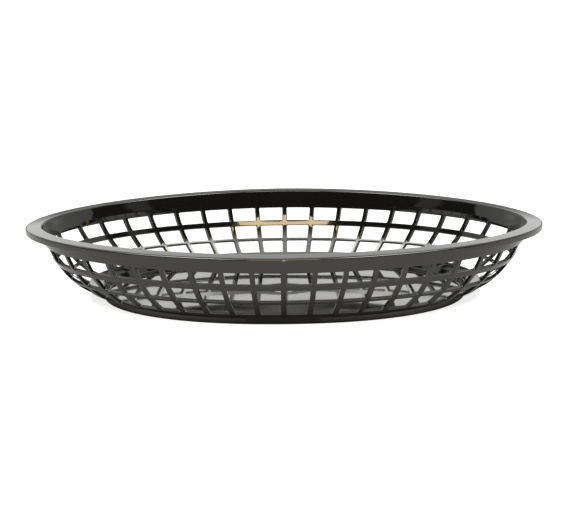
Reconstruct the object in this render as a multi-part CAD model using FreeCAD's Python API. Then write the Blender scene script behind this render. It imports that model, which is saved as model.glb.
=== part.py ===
"""Oval food basket, moulded in one piece: rim flange, windowed wall, foot and solid floor.

X runs along the basket, Y across it and Z up. The origin is the middle of the face it stands on.
Every level of the skin is a ring: an oval close to an ellipse, fuller at the foot and leaner at the
rim, whose two ends hang a little below its long sides. Each ring has its points at the edges of the
upright ribs and between them, so one panel joins each pair of points to the ring above. The skin
goes from the foot up the outside, round the rim and down the inside to the floor. Where a row of
windows crosses a gap between ribs, the two skins are left open and joined by the window's reveals.
"""
import FreeCAD, Part
import math
import os

Vector = FreeCAD.Vector

# Overall sizes
rim_length = 266.7
rim_width = 177.8
height = 38.1
end_droop = 1.2
rim_power = 1.82

# Rim flange and the lip that turns down round it
flange_width = 7.7
flange_thickness = 1.7
flange_fall = 0.4
lip_depth = 3.2
lip_thickness = 1.5
nose_radius = 1.3
throat_radius = 0.9

# Foot and floor
foot_length = 186.6
foot_width = 134.4
foot_height = 3.0
foot_recess = 0.4
foot_power = 2.16
floor_thickness = 1.2

# Wall, whose ends curl out faster than its long sides
wall_thickness = 1.7
end_flare = 0.6
end_curl = 1.4
side_curl = 1.6

# From the rim down: blind band, two rings between three rows of windows, and the sill
band_height = 9.8
upper_row = 6.7
upper_ring = 2.7
middle_row = 6.5
lower_ring = 1.3
lower_row = 3.4

# Upright ribs, evenly spaced along the long sides, closer together at the foot and drafted inwards
ribs_per_quarter = 10
even_ribs = 8
rib_width = 2.8
rib_draft = 0.4
top_pitch = 15.3
foot_pitch = 13.0

# How finely the rings and the roundings are drawn
PANELS_PER_GAP = 3
OVAL_STEPS = 400
ROUND_STEPS = 3
TILT_STEP = 0.01

rim_half = (rim_length / 2, rim_width / 2)
foot_half = (foot_length / 2, foot_width / 2)
throat_height = height - flange_thickness

# The heights where the windows begin and end
row_tops = [height - band_height]
row_tops.append(row_tops[-1] - upper_row - upper_ring)
row_tops.append(row_tops[-1] - middle_row - lower_ring)
row_feet = [top - row for top, row in zip(row_tops, (upper_row, middle_row, lower_row))]
window_top, window_foot = row_tops[0], row_feet[-1]


def inset(half, distance):
    """A pair of half sizes, each made smaller by a distance."""
    return half[0] - distance, half[1] - distance


def oval_quarter(half, power):
    """Closely spaced points round a quarter of an oval, with how far along it each one lies."""
    track, distance, last = [], 0.0, None
    for step in range(OVAL_STEPS + 1):
        angle = math.pi / 2 * step / OVAL_STEPS
        x = half[0] * math.sin(angle) ** (2 / power)
        y = half[1] * max(math.cos(angle), 0.0) ** (2 / power)
        if last:
            distance += math.hypot(x - last[0], y - last[1])
        track.append((distance, x, y))
        last = (x, y)
    return track


def point_along(track, distance):
    """The point at a distance along such a quarter."""
    for (start, x0, y0), (end, x1, y1) in zip(track, track[1:]):
        if distance <= end:
            part = (distance - start) / (end - start)
            return x0 + (x1 - x0) * part, y0 + (y1 - y0) * part
    return track[-1][1:]


def rib_shares(quarter, pitch):
    """Where the ribs stand, as shares of a quarter: evenly at first, then the rest shared out."""
    even = even_ribs * pitch / quarter
    late = (1 - even) / (ribs_per_quarter - even_ribs)
    return [min(rib, even_ribs) * pitch / quarter + max(rib - even_ribs, 0) * late
            for rib in range(ribs_per_quarter + 1)]


def power_at(z):
    share = min(max(z / height, 0.0), 1.0)
    return foot_power + (rim_power - foot_power) * share


def droop_at(z):
    """How far the two ends of a ring hang below its long sides."""
    return end_droop * max(z - foot_height, 0.0) / (height - foot_height)


def ring(half, z, z_end=None, draft=0.0):
    """The points of a ring, at height z on its long sides and at z_end, less the droop, at its ends."""
    z_end = z if z_end is None else z_end
    rise = z_end - droop_at(z_end) - z
    track = oval_quarter(half, power_at(z))
    quarter = track[-1][0]
    lean = min(max((window_top - z) / (window_top - window_foot), 0.0), 1.0)
    shares = [high + (low - high) * lean for high, low in zip(top_shares, foot_shares)]
    plan = []
    for near, far in zip(shares, shares[1:]):
        start = near * quarter + rib_width / 2 - draft
        end = far * quarter - rib_width / 2 + draft
        for panel in range(PANELS_PER_GAP + 1):
            plan.append(point_along(track, start + (end - start) * panel / PANELS_PER_GAP))
    plan += [(x, -y) for x, y in reversed(plan)]
    plan += [(-x, y) for x, y in reversed(plan)]
    return [Vector(x, y, z + rise * (x / half[0]) ** 2) for x, y in plan]


def wall_half(z):
    """The outer wall's half sizes at height z."""
    share = (z - foot_height) / (throat_height - foot_height)
    end = 1 - (1 - share ** end_flare) ** end_curl
    side = 1 - (1 - share) ** side_curl
    throat = inset(rim_half, flange_width)
    return (foot_half[0] + (throat[0] - foot_half[0]) * end,
            foot_half[1] + (throat[1] - foot_half[1]) * side)


def inner_ring(z):
    """The ring that lies one wall thickness inside the outer wall's ring at height z."""
    low, high = max(z - TILT_STEP, foot_height), min(z + TILT_STEP, throat_height)
    half, level = [], []
    for outer, below, above in zip(wall_half(z), wall_half(low), wall_half(high)):
        slant = math.hypot(above - below, high - low)
        half.append(outer - wall_thickness * (high - low) / slant)
        level.append(z + wall_thickness * (above - below) / slant)
    return ring(half, level[1], level[0], rib_draft)


def panel(a, b, c, d):
    return Part.makeRuledSurface(Part.makeLine(a, b), Part.makeLine(d, c))


def plate(points):
    """One flat face inside a level ring."""
    return Part.Face(Part.makePolygon(points + points[:1]))


def is_rib(side):
    return side % (PANELS_PER_GAP + 1) == PANELS_PER_GAP


def band(low, high, sides=None):
    """Panels between two rings, all the way round or on the given sides."""
    sides = range(len(low)) if sides is None else sides
    return [panel(low[i - 1], low[i], high[i], high[i - 1]) for i in sides]


def window_row(low_out, high_out, low_in, high_in):
    """One row of windows: ribs on both skins, and the four reveals of every window."""
    count = len(low_out)
    ribs = [i for i in range(count) if is_rib(i - 1)]
    gaps = [i for i in range(count) if not is_rib(i - 1)]
    faces = band(low_out, high_out, ribs) + band(low_in, high_in, ribs)
    faces += band(low_out, low_in, gaps) + band(high_out, high_in, gaps)
    for i in ribs:
        for edge in (i - 1, i):
            faces.append(panel(low_out[edge], high_out[edge], high_in[edge], low_in[edge]))
    return faces


def rounding(half, z_edge, radius, side):
    """Rings from an upright face round a quarter circle to the top; side is 1 to turn inwards."""
    rings = []
    for step in range(ROUND_STEPS + 1):
        angle = math.pi / 2 * step / ROUND_STEPS
        back = side * radius * (1 - math.cos(angle))
        rings.append(ring(inset(half, back), z_edge - radius * (1 - math.sin(angle))))
    return rings


def wall_faces(outer_top, inner_top):
    """The wall from the foot to the given top rings, with its three rows of windows."""
    levels = sorted([foot_height, (foot_height + window_foot) / 2, *row_feet, *row_tops])
    outer = [ring(wall_half(z), z) for z in levels] + [outer_top]
    inner = [inner_ring(z) for z in levels] + [inner_top]
    faces = []
    for i, z in enumerate(levels):
        if z in row_feet:
            faces += window_row(outer[i], outer[i + 1], inner[i], inner[i + 1])
        else:
            faces += band(outer[i], outer[i + 1]) + band(inner[i], inner[i + 1])
    return faces, outer[0], inner[0]


def rim_faces():
    """The flange, its nose and its lip, with the two rings that the wall hangs from."""
    edge = height - flange_fall
    throat = inset(rim_half, flange_width)
    lip_inside = inset(rim_half, lip_thickness)
    outer_top = ring(throat, throat_height)
    nose = rounding(rim_half, edge, nose_radius, 1)
    mouth = rounding(inset(throat, wall_thickness), height, throat_radius, -1)
    rings = [outer_top, ring(lip_inside, edge - flange_thickness), ring(lip_inside, edge - lip_depth),
             ring(rim_half, edge - lip_depth), *nose, *reversed(mouth)]
    faces = [face for low, high in zip(rings, rings[1:]) for face in band(low, high)]
    return faces, outer_top, mouth[0]


def foot_faces(outer_start, inner_start):
    """The foot rim, the shallow recess under the floor, and the floor itself."""
    inside = inset(foot_half, wall_thickness)
    rings = [inner_start, ring(inside, foot_recess + floor_thickness)]
    faces = band(*rings) + [plate(rings[1])]
    tread_out, tread_in, recess = ring(foot_half, 0.0), ring(inside, 0.0), ring(inside, foot_recess)
    faces += band(tread_out, outer_start) + band(tread_in, recess)
    return faces + plate(tread_out).cut(plate(tread_in)).Faces + [plate(recess)]


def make_basket():
    rim, outer_top, inner_top = rim_faces()
    wall, outer_start, inner_start = wall_faces(outer_top, inner_top)
    shell = Part.Shell(rim + wall + foot_faces(outer_start, inner_start))
    shell.sewShape()
    solid = Part.Solid(shell)
    if solid.Volume < 0:
        solid.reverse()
    return solid


top_shares = rib_shares(oval_quarter(wall_half(window_top), power_at(window_top))[-1][0], top_pitch)
foot_shares = rib_shares(oval_quarter(wall_half(window_foot), power_at(window_foot))[-1][0], foot_pitch)

os.makedirs("parts", exist_ok=True)
basket = make_basket()
basket.exportStep("parts/basket.step")
print("basket: valid", basket.isValid(), "closed", basket.isClosed(), "volume", round(basket.Volume))
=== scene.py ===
"""Oval food basket moulded in glossy black plastic, on a pale floor in soft studio light."""
import bisect
import math
from typing import NamedTuple

import bmesh
import bpy
from bpy.props import FloatProperty, FloatVectorProperty, PointerProperty
from mathutils import Matrix, Vector


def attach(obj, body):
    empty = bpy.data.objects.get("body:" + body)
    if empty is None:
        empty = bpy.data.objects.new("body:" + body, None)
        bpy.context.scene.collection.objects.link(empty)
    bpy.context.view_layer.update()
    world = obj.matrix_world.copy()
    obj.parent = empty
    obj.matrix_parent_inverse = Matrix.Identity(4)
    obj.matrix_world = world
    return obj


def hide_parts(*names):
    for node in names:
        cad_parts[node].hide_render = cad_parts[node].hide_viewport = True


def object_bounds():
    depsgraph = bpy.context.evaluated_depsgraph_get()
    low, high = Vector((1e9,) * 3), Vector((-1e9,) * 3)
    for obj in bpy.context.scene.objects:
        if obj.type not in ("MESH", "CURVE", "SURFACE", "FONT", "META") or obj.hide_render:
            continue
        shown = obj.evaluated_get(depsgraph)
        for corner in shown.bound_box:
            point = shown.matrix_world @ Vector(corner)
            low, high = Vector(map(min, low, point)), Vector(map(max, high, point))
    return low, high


bl_info = {
    "name": "Oval food basket",
    "version": (1, 0, 0),
    "blender": (4, 5, 0),
    "location": "3D View > Sidebar > Basket",
    "description": "Models an oval food basket with a windowed wall and gives it its finish",
    "category": "Object",
}

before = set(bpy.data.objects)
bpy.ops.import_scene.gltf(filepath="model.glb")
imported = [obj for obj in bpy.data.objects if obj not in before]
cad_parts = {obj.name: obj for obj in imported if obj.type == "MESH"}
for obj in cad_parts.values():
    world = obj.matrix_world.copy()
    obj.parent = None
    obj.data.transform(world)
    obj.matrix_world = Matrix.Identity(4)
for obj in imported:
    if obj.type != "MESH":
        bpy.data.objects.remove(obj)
CAD_BOX = [list(corner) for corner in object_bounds()]
MM = 0.001
RIM_HALF = (CAD_BOX[1][0], CAD_BOX[1][1])
HEIGHT = CAD_BOX[1][2]


def length(name, description, default):
    """A length in metres, written here in millimetres."""
    return FloatProperty(name=name, description=description, default=default * MM, unit="LENGTH",
                         subtype="DISTANCE", min=0.0, precision=5)


class BasketSizes(bpy.types.PropertyGroup):
    """Sizes of the basket, apart from its overall box, which comes from the frame."""
    end_droop: length("End droop", "How far the rim hangs lower at the ends", 1.2)
    rim_power: FloatProperty(name="Rim power", description="Power of the rim's oval", default=1.82)
    flange_width: length("Flange width", "From the inside of the rim's edge to the wall", 7.7)
    flange_thickness: length("Flange thickness", "Thickness of the rim", 1.7)
    flange_fall: length("Flange fall", "How much lower the rim's outer edge lies", 0.4)
    lip_depth: length("Lip depth", "Height of the rim's turned-down lip", 3.2)
    lip_thickness: length("Lip thickness", "Thickness of the lip", 1.5)
    nose_radius: length("Nose radius", "Rounding of the rim's outer edge", 1.0)
    throat_radius: length("Throat radius", "Rounding of the rim's inner edge", 0.9)
    foot_length: length("Foot length", "Length of the foot", 186.6)
    foot_width: length("Foot width", "Width of the foot", 134.4)
    foot_height: length("Foot height", "Height of the upright foot", 3.0)
    foot_recess: length("Foot recess", "How far the floor's underside stands off the table", 0.4)
    foot_power: FloatProperty(name="Foot power", description="Power of the foot's oval", default=2.16)
    floor_thickness: length("Floor thickness", "Thickness of the floor", 1.2)
    wall_thickness: length("Wall thickness", "Thickness of the wall", 1.7)
    mouth_thickness: length("Mouth thickness", "Thickness of the wall at the rim", 0.85)
    end_flare: FloatProperty(name="End flare", description="How soon the ends spread", default=0.6)
    end_curl: FloatProperty(name="End curl", description="How the ends turn upright", default=1.4)
    side_curl: FloatProperty(name="Side curl", description="How the sides turn upright", default=1.6)
    band_height: length("Band height", "From the rim's top to the windows", 9.8)
    upper_row: length("Upper row", "Height of the upper windows", 6.7)
    upper_ring: length("Upper ring", "Width of the upper ring", 2.7)
    middle_row: length("Middle row", "Height of the middle windows", 6.5)
    lower_ring: length("Lower ring", "Width of the lower ring", 1.3)
    lower_row: length("Lower row", "Height of the lower windows", 5.9)
    pitch_height: length("Pitch height", "Below it the ribs keep their spacing at the foot", 7.7)
    rib_width: length("Rib width", "Width of an upright rib", 2.8)
    end_slimness: FloatProperty(name="End slimness", default=0.35, subtype="FACTOR",
                                description="Share of its width that the rib at each end lacks")
    rib_draft: length("Rib draft", "How much less of a rib each side has inside", 0.4)
    top_pitch: length("Top pitch", "Spacing of the ribs above the windows", 15.3)
    foot_pitch: length("Foot pitch", "Spacing of the ribs below the windows", 13.0)
    window_corner: length("Window corner", "Rounding of a window's corners", 0.45)
    edge_rounding: length("Edge rounding", "Softening of every moulded edge", 0.22)
    floor_warp: length("Floor warp", "Unevenness of the floor", 0.05)
    gate_depth: length("Gate depth", "Depth of the dimple at the middle of the floor", 0.25)
    gate_radius: length("Gate radius", "Reach of that dimple", 9.0)


class BasketFinish(bpy.types.PropertyGroup):
    """Colour and gloss of the plastic."""
    colour: FloatVectorProperty(name="Colour", description="Colour of the plastic", size=3,
                                subtype="COLOR", default=(0.006, 0.006, 0.0062))
    roughness: FloatProperty(name="Roughness", description="Roughness of the plastic", default=0.06)
    coat: FloatProperty(name="Gloss", description="Weight of the skin's extra gloss", default=1.0)
    coat_roughness: FloatProperty(name="Gloss roughness", description="Roughness of that gloss",
                                  default=0.03)
    refraction: FloatProperty(name="Refraction", description="Refractive index of the plastic",
                              default=1.57)
    mirror_tint: FloatVectorProperty(name="Mirror tint", description="Tint of what the skin mirrors",
                                     size=3, subtype="COLOR", default=(1.0, 1.0, 0.87))


class StageSettings(bpy.types.PropertyGroup):
    """The camera, the floor and the light."""
    distance: FloatProperty(name="Distance", description="From the camera to its target",
                            default=1.0638, unit="LENGTH")
    elevation: FloatProperty(name="Elevation", description="How far the camera looks down",
                             default=math.radians(12.81), subtype="ANGLE")
    swing: FloatProperty(name="Swing", description="Turn of the view about the upright",
                         default=math.radians(-0.35), subtype="ANGLE")
    roll: FloatProperty(name="Roll", description="Tilt of the camera", default=math.radians(0.66),
                        subtype="ANGLE")
    target_height: length("Target height", "Height of the point looked at", 19.0)
    lens: FloatProperty(name="Lens", description="Focal length in millimetres", default=129.74)
    shift_x: FloatProperty(name="Shift X", description="Sideways shift of the view", default=0.0014)
    shift_y: FloatProperty(name="Shift Y", description="Upward shift of the view", default=-0.001)
    floor_size: FloatProperty(name="Floor size", description="Half side of the floor", default=20.0,
                              unit="LENGTH")
    overhead_power: FloatProperty(name="Overhead power", description="Power of the overhead softbox",
                                  default=12.0, subtype="POWER")
    cold_power: FloatProperty(name="Cold power", description="Power of the small low lamp in front",
                              default=0.8, subtype="POWER")
    warm_power: FloatProperty(name="Warm power", description="Power of the warm lamp in front",
                              default=4.0, subtype="POWER")


# The grid that wraps the basket: its sides along each gap and rib, and its rings along the section
GAP_SIDES = 8
RIB_SIDES = 2
PITCH_SIDES = GAP_SIDES + RIB_SIDES
RIBS_PER_QUARTER = 10
EVEN_RIBS = 8
OVAL_STEPS = 400
ROUND_STEPS = 8
ACROSS_STEPS = 6
PLATE_RINGS = 24
WALL_STEP = 1.3 * MM
TILT_STEP = 0.01 * MM

# How its edges are told apart and rounded
SAME_POINT = 0.001 * MM
SAME_LEVEL = 0.01 * MM
CORNER_ANGLE = math.radians(135)
SHARP_ANGLE = math.radians(38)
CORNER_SEGMENTS = 4
EDGE_SEGMENTS = 2

# The floor's unevenness: radians to the metre of its waves along X and Y, and where they begin
SWELL = (41.0, 57.0)
SWELL_START = (0.6, -0.4)
RIPPLE = (97.0, 71.0)
RIPPLE_SHARE = 0.5


def inset(half, distance):
    """A pair of half sizes, each made smaller by a distance."""
    return half[0] - distance, half[1] - distance


def spaced(start, end, steps):
    """Values from start to end, both counted in."""
    return [start + (end - start) * step / steps for step in range(steps + 1)]


class Ring(NamedTuple):
    """A ring of the skin: its half sizes, its height on the long sides and at the ends, before the
    ends droop, and how far a rib's two edges are drawn in there."""
    half: tuple
    side_height: float
    end_height: float
    draft: float = 0.0


def level_ring(half, z):
    """A ring whose ends are as high as its long sides, before they droop."""
    return Ring(half, z, z)


class Oval:
    """A quarter of an oval, from the middle of its long side to its end, measured along its length."""

    def __init__(self, half, power):
        self.places = []
        self.distances = []
        distance = 0.0
        for step in range(OVAL_STEPS + 1):
            angle = math.pi / 2 * step / OVAL_STEPS
            place = (half[0] * math.sin(angle) ** (2 / power),
                     half[1] * max(math.cos(angle), 0.0) ** (2 / power))
            if self.places:
                distance += math.dist(place, self.places[-1])
            self.places.append(place)
            self.distances.append(distance)
        self.length = distance

    def at(self, distance):
        """The point at a distance along the quarter."""
        i = min(max(bisect.bisect_left(self.distances, distance), 1), OVAL_STEPS)
        start, end = self.distances[i - 1], self.distances[i]
        part = (distance - start) / (end - start)
        (x0, y0), (x1, y1) = self.places[i - 1], self.places[i]
        return x0 + (x1 - x0) * part, y0 + (y1 - y0) * part


class Section:
    """The basket's section: the rings that its skin is drawn through, and where its ribs stand."""

    def __init__(self, sizes):
        self.sizes = sizes
        self.foot_half = (sizes.foot_length / 2, sizes.foot_width / 2)
        self.throat_half = inset(RIM_HALF, sizes.flange_width)
        self.throat_height = HEIGHT - sizes.flange_thickness
        top = HEIGHT - sizes.band_height
        self.window_top = top
        self.rows = []
        for row, ring in ((sizes.upper_row, sizes.upper_ring), (sizes.middle_row, sizes.lower_ring),
                          (sizes.lower_row, 0.0)):
            self.rows.append((top - row, top))
            top -= row + ring
        self.top_shares = self.rib_shares(self.window_top, sizes.top_pitch)
        self.foot_shares = self.rib_shares(sizes.pitch_height, sizes.foot_pitch)

    def rib_shares(self, z, pitch):
        """Where the ribs stand along a quarter: evenly at first, then the rest shared out."""
        even = pitch / Oval(self.wall_half(z), self.power(z)).length
        late = (1 - EVEN_RIBS * even) / (RIBS_PER_QUARTER - EVEN_RIBS)
        return [min(rib, EVEN_RIBS) * even + max(rib - EVEN_RIBS, 0) * late
                for rib in range(RIBS_PER_QUARTER + 1)]

    def power(self, z):
        """The power of the oval at height z, which stays the same over the rim."""
        rim = self.throat_height - self.sizes.lip_depth
        share = min(max(z / rim, 0.0), 1.0)
        return self.sizes.foot_power + (self.sizes.rim_power - self.sizes.foot_power) * share

    def droop(self, z):
        """How far the two ends of a ring hang below its long sides."""
        foot = self.sizes.foot_height
        return self.sizes.end_droop * max(z - foot, 0.0) / (HEIGHT - foot)

    def wall_half(self, z):
        """The outer wall's half sizes at height z."""
        foot = self.sizes.foot_height
        share = (z - foot) / (self.throat_height - foot)
        end = 1 - (1 - share ** self.sizes.end_flare) ** self.sizes.end_curl
        side = 1 - (1 - share) ** self.sizes.side_curl
        return (self.foot_half[0] + (self.throat_half[0] - self.foot_half[0]) * end,
                self.foot_half[1] + (self.throat_half[1] - self.foot_half[1]) * side)

    def outer(self, z):
        """The outer wall's ring at height z."""
        return level_ring(self.wall_half(z), z)

    def inner(self, z):
        """The ring that lies one wall thickness inside the outer wall's ring at height z."""
        thickness = self.sizes.wall_thickness
        low, high = max(z - TILT_STEP, self.sizes.foot_height), min(z + TILT_STEP, self.throat_height)
        half, level = [], []
        for outer, below, above in zip(self.wall_half(z), self.wall_half(low), self.wall_half(high)):
            slant = math.hypot(above - below, high - low)
            half.append(outer - thickness * (high - low) / slant)
            level.append(z + thickness * (above - below) / slant)
        return Ring(tuple(half), level[1], level[0], self.sizes.rib_draft)

    def wall_levels(self):
        """Heights up the wall, closely spaced, with each window's top and foot among them."""
        stops = [self.sizes.foot_height] + [z for row in reversed(self.rows) for z in row]
        levels = stops[:1]
        for low, high in zip(stops, stops[1:] + [self.throat_height - self.sizes.throat_radius]):
            steps = max(round((high - low) / WALL_STEP), 1)
            levels += spaced(low, high, steps)[1:]
        return levels

    def rounding(self, half, edge, radius, side):
        """Rings round a quarter circle from an upright face to the top; side is 1 to turn inwards."""
        rings = []
        for angle in spaced(0.0, math.pi / 2, ROUND_STEPS):
            z = edge - radius * (1 - math.sin(angle))
            rings.append(level_ring(inset(half, side * radius * (1 - math.cos(angle))), z))
        return rings

    def plate(self, half, z):
        """Rings from the middle of a flat plate out to its edge."""
        return [level_ring((half[0] * share, half[1] * share), z)
                for share in spaced(1 / PLATE_RINGS, 1.0, PLATE_RINGS - 1)]

    def rings(self):
        """All rings, from the middle of the underside, over the rim, to the middle of the floor, and
        where each row of windows begins and ends among those of the outer and of the inner wall."""
        s = self.sizes
        edge = HEIGHT - s.flange_fall
        inside = inset(self.foot_half, s.wall_thickness)
        lip = inset(RIM_HALF, s.lip_thickness)
        floor = s.foot_recess + s.floor_thickness
        levels = self.wall_levels()
        rings = self.plate(inside, s.foot_recess)
        rings += [level_ring(inside, 0.0), level_ring(self.foot_half, 0.0)]
        first_outer = len(rings)
        rings += [self.outer(z) for z in levels]
        rings += [level_ring(self.throat_half, self.throat_height)]
        rings += [level_ring(lip, edge - s.flange_thickness), level_ring(lip, edge - s.lip_depth)]
        rings += [level_ring(RIM_HALF, edge - s.lip_depth)]
        rings += self.rounding(RIM_HALF, edge, s.nose_radius, 1)
        mouth = self.rounding(inset(self.throat_half, s.mouth_thickness), HEIGHT, s.throat_radius, -1)
        rings += self.across(rings[-1], mouth[-1])
        rings += reversed(mouth)
        rings += self.across(mouth[0], self.inner(self.window_top))
        first_inner = len(rings)
        inner_levels = [z for z in levels if z <= self.window_top]
        rings += [self.inner(z) for z in reversed(inner_levels)]
        rings += reversed(self.plate(inside, floor))
        last = first_inner + len(inner_levels) - 1
        places = [(levels.index(low), levels.index(high)) for low, high in self.rows]
        outer_rows = [(first_outer + low, first_outer + high) for low, high in places]
        inner_rows = [(last - high, last - low) for low, high in places]
        return rings, outer_rows, inner_rows

    def across(self, start, end):
        """Rings that lead straight from one ring to another."""
        rings = []
        for share in spaced(0.0, 1.0, ACROSS_STEPS)[1:-1]:
            half = tuple(a + (b - a) * share for a, b in zip(start.half, end.half))
            heights_and_draft = [a + (b - a) * share for a, b in zip(start[1:], end[1:])]
            rings.append(Ring(half, *heights_and_draft))
        return rings

    def place_ring(self, ring):
        """Points all the way round a ring, one for each side of the grid and the first one again."""
        z = ring.side_height
        oval = Oval(ring.half, self.power(z))
        rise = ring.end_height - self.droop(ring.end_height) - z
        lean = min(max((self.window_top - z) / (self.window_top - self.sizes.pitch_height), 0.0), 1.0)
        shares = [high + (low - high) * lean
                  for high, low in zip(self.top_shares, self.foot_shares)]
        spread = ring.half[0] / self.foot_half[0]
        half_rib = (self.sizes.rib_width / 2 - ring.draft) * min(spread, 1.0)
        ribs = [half_rib * (1 - self.sizes.end_slimness * (number / RIBS_PER_QUARTER) ** 2)
                for number in range(RIBS_PER_QUARTER + 1)]
        marks = [0.0]
        for near, far, first, last in zip(shares, shares[1:], ribs, ribs[1:]):
            marks += spaced(near * oval.length + first, far * oval.length - last, GAP_SIDES)
            marks.append(far * oval.length)
        quarter = [oval.at(mark) for mark in marks]
        plan = quarter + [(x, -y) for x, y in reversed(quarter[:-1])]
        plan += [(-x, y) for x, y in reversed(plan[:-1])]
        return [Vector((x, y, z + rise * (x / ring.half[0]) ** 2)) for x, y in plan]


def add_object(name, data):
    """Puts a mesh, lamp or camera into the scene."""
    obj = bpy.data.objects.new(name, data)
    bpy.context.scene.collection.objects.link(obj)
    return obj


def in_gap(side):
    """Whether a side of the grid lies in a gap between ribs."""
    return 1 <= side % PITCH_SIDES <= GAP_SIDES


def wrap_grid(bm, points):
    """Lays a unit grid on rows of points, and writes its side and its row on each face."""
    rows, width = len(points) - 1, len(points[0]) - 1
    bmesh.ops.create_grid(bm, x_segments=width, y_segments=rows, size=0.5)
    side_of, row_of = bm.faces.layers.int.new("side"), bm.faces.layers.int.new("row")
    for face in bm.faces:
        middle = face.calc_center_median()
        face[side_of] = int((middle.x + 0.5) * width)
        face[row_of] = int((middle.y + 0.5) * rows)
    for vert in bm.verts:
        vert.co = points[round((vert.co.y + 0.5) * rows)][round((vert.co.x + 0.5) * width)]
    return side_of, row_of


def cut_windows(bm, rows, side_of, row_of):
    """Takes the faces that fill the windows off one skin, and returns each window's border."""
    cells = {}
    for face in bm.faces:
        side = face[side_of]
        for number, (low, high) in enumerate(rows):
            if low <= face[row_of] < high and in_gap(side):
                cells.setdefault((number, side // PITCH_SIDES), []).append(face)
    borders = {}
    for key, faces in cells.items():
        inside = set(faces)
        borders[key] = [edge for edge in {edge for face in faces for edge in face.edges}
                        if not inside.issuperset(edge.link_faces)]
    bmesh.ops.delete(bm, geom=[face for faces in cells.values() for face in faces], context="FACES")
    return borders


def turns(vert, border):
    """Whether a window's border turns a corner at a vertex."""
    first, second = [edge.other_vert(vert).co - vert.co for edge in vert.link_edges if edge in border]
    return first.angle(second) < CORNER_ANGLE


def open_windows(bm, outer_rows, inner_rows, side_of, row_of, corner):
    """Cuts every window through both skins, joins them by its reveals and rounds its corners."""
    outer = cut_windows(bm, outer_rows, side_of, row_of)
    inner = cut_windows(bm, inner_rows, side_of, row_of)
    corners = []
    for key, border in outer.items():
        bmesh.ops.bridge_loops(bm, edges=border + inner[key])
        here, there = set(border), {vert for edge in inner[key] for vert in edge.verts}
        for vert in {vert for edge in border for vert in edge.verts}:
            if turns(vert, here):
                corners += [edge for edge in vert.link_edges if edge.other_vert(vert) in there]
    bmesh.ops.bevel(bm, geom=corners, affect="EDGES", offset=corner, offset_type="OFFSET",
                    segments=CORNER_SEGMENTS, profile=0.5, material=-1)


def floor_relief(sizes, x, y):
    """The floor's unevenness and the dimple where the plastic entered the mould."""
    swell = math.sin(x * SWELL[0] + SWELL_START[0]) * math.cos(y * SWELL[1] + SWELL_START[1])
    ripple = RIPPLE_SHARE * math.sin(x * RIPPLE[0] + y * RIPPLE[1])
    gate = math.exp(-(x * x + y * y) / sizes.gate_radius ** 2)
    return sizes.floor_warp * (swell + ripple) - sizes.gate_depth * gate


def basket_mesh(sizes):
    """The whole moulding: the wrapped grid with its windows cut and its edges softened."""
    section = Section(sizes)
    rings, outer_rows, inner_rows = section.rings()
    bm = bmesh.new()
    side_of, row_of = wrap_grid(bm, [section.place_ring(ring) for ring in rings])
    bmesh.ops.remove_doubles(bm, verts=bm.verts[:], dist=SAME_POINT)
    bmesh.ops.holes_fill(bm, edges=[edge for edge in bm.edges if edge.is_boundary], sides=0)
    open_windows(bm, outer_rows, inner_rows, side_of, row_of, sizes.window_corner)
    bmesh.ops.recalc_face_normals(bm, faces=bm.faces[:])
    sharp = [edge for edge in bm.edges if edge.calc_face_angle(0.0) > SHARP_ANGLE]
    bmesh.ops.bevel(bm, geom=sharp, affect="EDGES", offset=sizes.edge_rounding,
                    offset_type="OFFSET", segments=EDGE_SEGMENTS, profile=0.5, material=-1)
    floor = sizes.foot_recess + sizes.floor_thickness
    for vert in bm.verts:
        if abs(vert.co.z - floor) < SAME_LEVEL:
            vert.co.z += floor_relief(sizes, vert.co.x, vert.co.y)
    for face in bm.faces:
        face.smooth = True
    mesh = bpy.data.meshes.new("basket_shell")
    bm.to_mesh(mesh)
    bm.free()
    return mesh


# The moulded skin: its noises on Object coordinates, and what they do to gloss, colour and height
HAZE_NOISE = {"Scale": 38.0, "Detail": 4.0}
WAVE_NOISE = {"Scale": 70.0, "Detail": 1.0}
GRAIN_NOISE = {"Scale": 1500.0, "Detail": 2.0}
HAZE_START = 0.4
HAZE_ROUGHNESS = 0.12
HAZE_COLOUR = (0.016, 0.0155, 0.015, 1.0)
HAZE_COLOUR_SHARE = 0.3
GRAIN_SHARE = 0.01
BUMP_STRENGTH = 0.2
BUMP_HEIGHT = 0.02 * MM


def set_inputs(node, values):
    """Sets a node's inputs by their names."""
    for name, value in values.items():
        node.inputs[name].default_value = value


def maths(tree, kind, *values):
    """Joins values by a Math node; each is a number or another node's output."""
    node = tree.nodes.new("ShaderNodeMath")
    node.operation = kind
    for socket, value in zip(node.inputs, values):
        if isinstance(value, (int, float)):
            socket.default_value = value
        else:
            tree.links.new(value, socket)
    return node.outputs["Value"]


def ramp(tree, value, edges, results, kind="SMOOTHSTEP"):
    """Leads from the first result to the second while a value goes from edge to edge."""
    node = tree.nodes.new("ShaderNodeMapRange")
    node.interpolation_type = kind
    set_inputs(node, {"From Min": edges[0], "From Max": edges[1], "To Min": results[0],
                      "To Max": results[1]})
    tree.links.new(value, node.inputs["Value"])
    return node.outputs["Result"]


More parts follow.
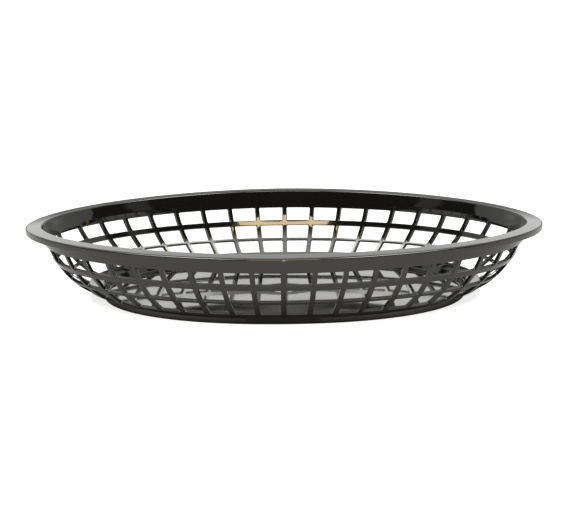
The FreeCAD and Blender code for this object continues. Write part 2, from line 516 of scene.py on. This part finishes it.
def plastic_group():
    """The moulded skin: faint waviness, fine grain and patches of handling haze."""
    group = bpy.data.node_groups.new("Moulded skin", "ShaderNodeTree")
    sockets = group.interface
    sockets.new_socket("Colour", in_out="INPUT", socket_type="NodeSocketColor")
    sockets.new_socket("Roughness", in_out="INPUT", socket_type="NodeSocketFloat")
    sockets.new_socket("Colour", in_out="OUTPUT", socket_type="NodeSocketColor")
    sockets.new_socket("Roughness", in_out="OUTPUT", socket_type="NodeSocketFloat")
    sockets.new_socket("Height", in_out="OUTPUT", socket_type="NodeSocketFloat")
    nodes, links = group.nodes, group.links
    start, end = nodes.new("NodeGroupInput"), nodes.new("NodeGroupOutput")
    place = nodes.new("ShaderNodeTexCoord")

    def noise(settings):
        node = nodes.new("ShaderNodeTexNoise")
        set_inputs(node, settings)
        links.new(place.outputs["Object"], node.inputs["Vector"])
        return node.outputs["Fac"]

    haze, wave, grain = noise(HAZE_NOISE), noise(WAVE_NOISE), noise(GRAIN_NOISE)
    extra = maths(group, "MULTIPLY", maths(group, "SUBTRACT", haze, HAZE_START), HAZE_ROUGHNESS)
    rough = maths(group, "ADD", start.outputs["Roughness"], maths(group, "MAXIMUM", extra, 0.0))
    height = maths(group, "ADD", wave, maths(group, "MULTIPLY", grain, GRAIN_SHARE))
    tint = nodes.new("ShaderNodeMix")
    tint.data_type = "RGBA"
    tint.inputs["B"].default_value = HAZE_COLOUR
    links.new(maths(group, "MULTIPLY", haze, HAZE_COLOUR_SHARE), tint.inputs["Factor"])
    links.new(start.outputs["Colour"], tint.inputs["A"])
    links.new(tint.outputs["Result"], end.inputs["Colour"])
    links.new(rough, end.inputs["Roughness"])
    links.new(height, end.inputs["Height"])
    return group


def plastic_material(finish):
    """Glossy black plastic, whose shader takes its skin from the group."""
    material = bpy.data.materials.new("Glossy black plastic")
    material.use_nodes = True
    nodes, links = material.node_tree.nodes, material.node_tree.links
    shader = nodes["Principled BSDF"]
    set_inputs(shader, {"IOR": finish.refraction, "Specular Tint": (*finish.mirror_tint, 1.0),
                        "Coat Weight": finish.coat, "Coat Roughness": finish.coat_roughness})
    skin = nodes.new("ShaderNodeGroup")
    skin.node_tree = plastic_group()
    set_inputs(skin, {"Colour": (*finish.colour, 1.0), "Roughness": finish.roughness})
    bump = nodes.new("ShaderNodeBump")
    set_inputs(bump, {"Strength": BUMP_STRENGTH, "Distance": BUMP_HEIGHT})
    links.new(skin.outputs["Colour"], shader.inputs["Base Color"])
    links.new(skin.outputs["Roughness"], shader.inputs["Roughness"])
    links.new(skin.outputs["Height"], bump.inputs["Height"])
    links.new(bump.outputs["Normal"], shader.inputs["Normal"])
    return material


class BASKET_OT_shell(bpy.types.Operator):
    """Models the basket and gives it its plastic"""
    bl_idname = "basket.shell"
    bl_label = "Basket shell"

    def execute(self, context):
        shell = add_object("basket_shell", basket_mesh(context.scene.basket_sizes))
        shell.data.materials.append(plastic_material(context.scene.basket_finish))
        even = shell.modifiers.new("Even shading", "WEIGHTED_NORMAL")
        even.keep_sharp = False
        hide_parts("basket")
        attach(shell, "root")
        return {"FINISHED"}


# The floor: its colour, how it glows to the camera, and the painted shadow that darkens it in gloss
# towards the foot, between these shares of the foot's half sizes
FLOOR_COLOUR = 0.8
FLOOR_ROUGHNESS = 0.9
FLOOR_GLOW = 0.78
# Painted shadow: the floor's colour and glow as the gloss sees them, from dark at the foot to full
FLOOR_GLOSS_PAINTED_SHADE = (0.0, 0.36)
PAINTED_SHADE_REACH = (0.96, 1.32)

# The studio that the gloss mirrors, by the direction in which it looks: where each part begins and
# ends, and how bright it is there
PLAIN_LIGHT = 0.36
WALL_EDGE = (-0.15, -0.11)
WALL_DEPTH = (0.5, 0.9)
WALL_SHINE = (0.48, 0.2)
STRIP_FOOT = (0.13, 0.2)
STRIP_TOP = (0.24, 0.46)
STRIP_DEPTH = (0.3, 0.9)
STRIP_SHINE = 0.76
STAND_NEAR = (0.74, 0.77)
STAND_FAR = (0.83, 0.86)
STAND_SHINE = 0.18
FRONT_SHINE = 0.04
ROOF_FOOT = (0.6, 0.74)
ROOF_TOP = (0.86, 0.93)
ROOF_SIDES = (0.22, 0.4)
ROOF_SHINE = (2.2, 9.0)
ROOF_DEPTH = (-0.25, -0.05)
ZENITH_SHARE = 0.07
BACK_ROOF_SHARE = 0.1


def white_floor(foot_half):
    """Pale matt floor that looks white and keeps the shadow; in gloss it carries a painted shadow and
    glow, darker close to the foot.
    """
    material = bpy.data.materials.new("Pale floor")
    material.use_nodes = True
    tree = material.node_tree
    nodes, links = tree.nodes, tree.links
    matt = nodes["Principled BSDF"]
    set_inputs(matt, {"Roughness": FLOOR_ROUGHNESS, "Specular IOR Level": 0.0,
                      "Emission Color": (1.0, 1.0, 1.0, 1.0)})
    place = nodes.new("ShaderNodeTexCoord")
    spread = nodes.new("ShaderNodeVectorMath")
    spread.operation = "MULTIPLY"
    spread.inputs[1].default_value = (1 / foot_half[0], 1 / foot_half[1], 0.0)
    links.new(place.outputs["Object"], spread.inputs[0])
    away = nodes.new("ShaderNodeVectorMath")
    away.operation = "LENGTH"
    links.new(spread.outputs["Vector"], away.inputs[0])
    # Painted shadow in gloss: dark at the foot's edge, full further out
    painted_shade = ramp(tree, away.outputs["Value"], PAINTED_SHADE_REACH, FLOOR_GLOSS_PAINTED_SHADE, "LINEAR")
    path = nodes.new("ShaderNodeLightPath")

    def choose(kind, otherwise, chosen):
        """Takes one value for rays of a kind, and the other value for the rest."""
        node = nodes.new("ShaderNodeMix")
        node.data_type = "FLOAT"
        links.new(path.outputs[kind], node.inputs["Factor"])
        for name, value in (("A", otherwise), ("B", chosen)):
            if isinstance(value, float):
                node.inputs[name].default_value = value
            else:
                links.new(value, node.inputs[name])
        return node.outputs["Result"]

    # Glossy rays see the painted shadow in the floor's colour and in its glow, whatever the lamps do
    links.new(choose("Is Glossy Ray", FLOOR_COLOUR, painted_shade), matt.inputs["Base Color"])
    glow = choose("Is Camera Ray", choose("Is Glossy Ray", 0.0, painted_shade), FLOOR_GLOW)
    links.new(glow, matt.inputs["Emission Strength"])
    return material


def tent(tree, across, along, up):
    """How bright the studio is in a direction, given by its parts across, to the back and up."""
    def fade(value, edges, start, end):
        return ramp(tree, value, edges, (start, end))

    def times(first, second):
        return maths(tree, "MULTIPLY", first, second)

    aside = maths(tree, "ABSOLUTE", across)
    strip = times(fade(up, STRIP_FOOT, 0.0, 1.0), fade(up, STRIP_TOP, 1.0, 0.0))
    back = times(strip, fade(along, STRIP_DEPTH, 0.0, STRIP_SHINE))
    sides = maths(tree, "ADD", back, fade(along, WALL_DEPTH, *WALL_SHINE))
    walls = times(fade(along, WALL_EDGE, 0.0, 1.0), sides)
    stands = times(fade(aside, STAND_NEAR, 0.0, STAND_SHINE), fade(aside, STAND_FAR, 1.0, 0.0))
    front = maths(tree, "ADD", stands, FRONT_SHINE)
    high = times(fade(up, ROOF_FOOT, 0.0, 1.0), fade(up, ROOF_TOP, 1.0, ZENITH_SHARE))
    roof = times(times(high, fade(aside, ROOF_SIDES, *ROOF_SHINE)),
                 fade(along, ROOF_DEPTH, 1.0, BACK_ROOF_SHARE))
    return maths(tree, "MAXIMUM", maths(tree, "MAXIMUM", walls, front), roof)


def studio_world():
    """White to the camera; to the gloss, a tent with pale walls, a dark front and a bright roof."""
    world = bpy.data.worlds.new("Studio")
    world.use_nodes = True
    tree = world.node_tree
    nodes, links = tree.nodes, tree.links
    nodes.clear()
    place = nodes.new("ShaderNodeTexCoord")
    parts = nodes.new("ShaderNodeSeparateXYZ")
    links.new(place.outputs["Generated"], parts.inputs["Vector"])
    seen = tent(tree, parts.outputs["X"], parts.outputs["Y"], parts.outputs["Z"])
    path = nodes.new("ShaderNodeLightPath")
    shine = maths(tree, "MULTIPLY", path.outputs["Is Glossy Ray"],
                  maths(tree, "SUBTRACT", seen, PLAIN_LIGHT))
    behind = maths(tree, "ADD", shine, PLAIN_LIGHT)
    background = nodes.new("ShaderNodeBackground")
    background.inputs["Color"].default_value = (1.0, 1.0, 1.0, 1.0)
    links.new(maths(tree, "MAXIMUM", behind, path.outputs["Is Camera Ray"]),
              background.inputs["Strength"])
    output = nodes.new("ShaderNodeOutputWorld")
    links.new(background.outputs["Background"], output.inputs["Surface"])
    return world


class Lamp(NamedTuple):
    """An oblong softbox that faces the basket."""
    name: str
    place: tuple
    size: tuple
    colour: tuple


OVERHEAD = Lamp("Overhead softbox", place=(0.0, 0.25, 1.5), size=(1.4, 1.4), colour=(1.0, 1.0, 1.0))
COLD = Lamp("Cold lamp", place=(0.0, -1.4, 0.03), size=(0.05, 0.05), colour=(0.72, 0.78, 1.0))
WARM = Lamp("Warm lamp", place=(0.0, -1.25, 0.87), size=(0.75, 0.22), colour=(1.0, 0.75, 0.46))

# Width of the camera's sensor, in millimetres like its focal length
SENSOR_WIDTH = 36.0


class BASKET_OT_stage(bpy.types.Operator):
    """Lays the floor, and sets up the light and the camera"""
    bl_idname = "basket.stage"
    bl_label = "Stage"

    def execute(self, context):
        scene = context.scene
        settings, sizes = scene.basket_stage, scene.basket_sizes
        self.floor(settings.floor_size, (sizes.foot_length / 2, sizes.foot_width / 2))
        overhead = self.light(OVERHEAD, settings.overhead_power)
        overhead.visible_glossy = False
        self.light(COLD, settings.cold_power)
        self.light(WARM, settings.warm_power)
        scene.camera = self.camera(settings)
        scene.world = studio_world()
        scene.view_settings.view_transform = "Standard"
        return {"FINISHED"}

    def floor(self, half_side, foot_half):
        """A floor that is wide enough for every view."""
        bm = bmesh.new()
        bmesh.ops.create_grid(bm, x_segments=1, y_segments=1, size=half_side)
        mesh = bpy.data.meshes.new("floor")
        bm.to_mesh(mesh)
        bm.free()
        mesh.materials.append(white_floor(foot_half))
        add_object("floor", mesh)

    def light(self, lamp, power):
        """Hangs a lamp at its place, turned to the basket."""
        data = bpy.data.lights.new(lamp.name, "AREA")
        data.shape = "RECTANGLE"
        data.size, data.size_y = lamp.size
        data.energy = power
        data.color = lamp.colour
        turn = Vector(lamp.place).to_track_quat("Z", "Y").to_matrix().to_4x4()
        obj = add_object(lamp.name, data)
        obj.matrix_world = Matrix.Translation(lamp.place) @ turn
        return obj

    def camera(self, settings):
        """The camera, at the photograph's viewing angle."""
        lens = bpy.data.cameras.new("Camera")
        lens.lens = settings.lens
        lens.sensor_width = SENSOR_WIDTH
        lens.sensor_fit = "HORIZONTAL"
        lens.shift_x, lens.shift_y = settings.shift_x, settings.shift_y
        turn = (Matrix.Rotation(-settings.swing, 4, "Z")
                @ Matrix.Rotation(math.pi / 2 - settings.elevation, 4, "X")
                @ Matrix.Rotation(-settings.roll, 4, "Z"))
        aim = Vector((0.0, 0.0, settings.target_height))
        back = turn.to_3x3() @ Vector((0.0, 0.0, settings.distance))
        camera = add_object("Camera", lens)
        camera.matrix_world = Matrix.Translation(aim + back) @ turn
        return camera


class BASKET_PT_panel(bpy.types.Panel):
    """Sizes and finish of the basket, and the steps that make it"""
    bl_label = "Oval food basket"
    bl_space_type = "VIEW_3D"
    bl_region_type = "UI"
    bl_category = "Basket"

    def draw(self, context):
        scene = context.scene
        for title, group in (("Sizes", scene.basket_sizes), ("Finish", scene.basket_finish),
                             ("Stage", scene.basket_stage)):
            box = self.layout.box()
            box.label(text=title)
            for name in group.bl_rna.properties.keys():
                if name not in ("rna_type", "name"):
                    box.prop(group, name)
        for operator in (BASKET_OT_shell, BASKET_OT_stage):
            self.layout.operator(operator.bl_idname)


CLASSES = (BasketSizes, BasketFinish, StageSettings, BASKET_OT_shell, BASKET_OT_stage, BASKET_PT_panel)


def register():
    for cls in CLASSES:
        bpy.utils.register_class(cls)
    bpy.types.Scene.basket_sizes = PointerProperty(type=BasketSizes)
    bpy.types.Scene.basket_finish = PointerProperty(type=BasketFinish)
    bpy.types.Scene.basket_stage = PointerProperty(type=StageSettings)


def unregister():
    del bpy.types.Scene.basket_stage
    del bpy.types.Scene.basket_finish
    del bpy.types.Scene.basket_sizes
    for cls in reversed(CLASSES):
        bpy.utils.unregister_class(cls)


def main():
    register()
    bpy.ops.basket.shell()
    bpy.ops.basket.stage()


if __name__ == "__main__":
    main()
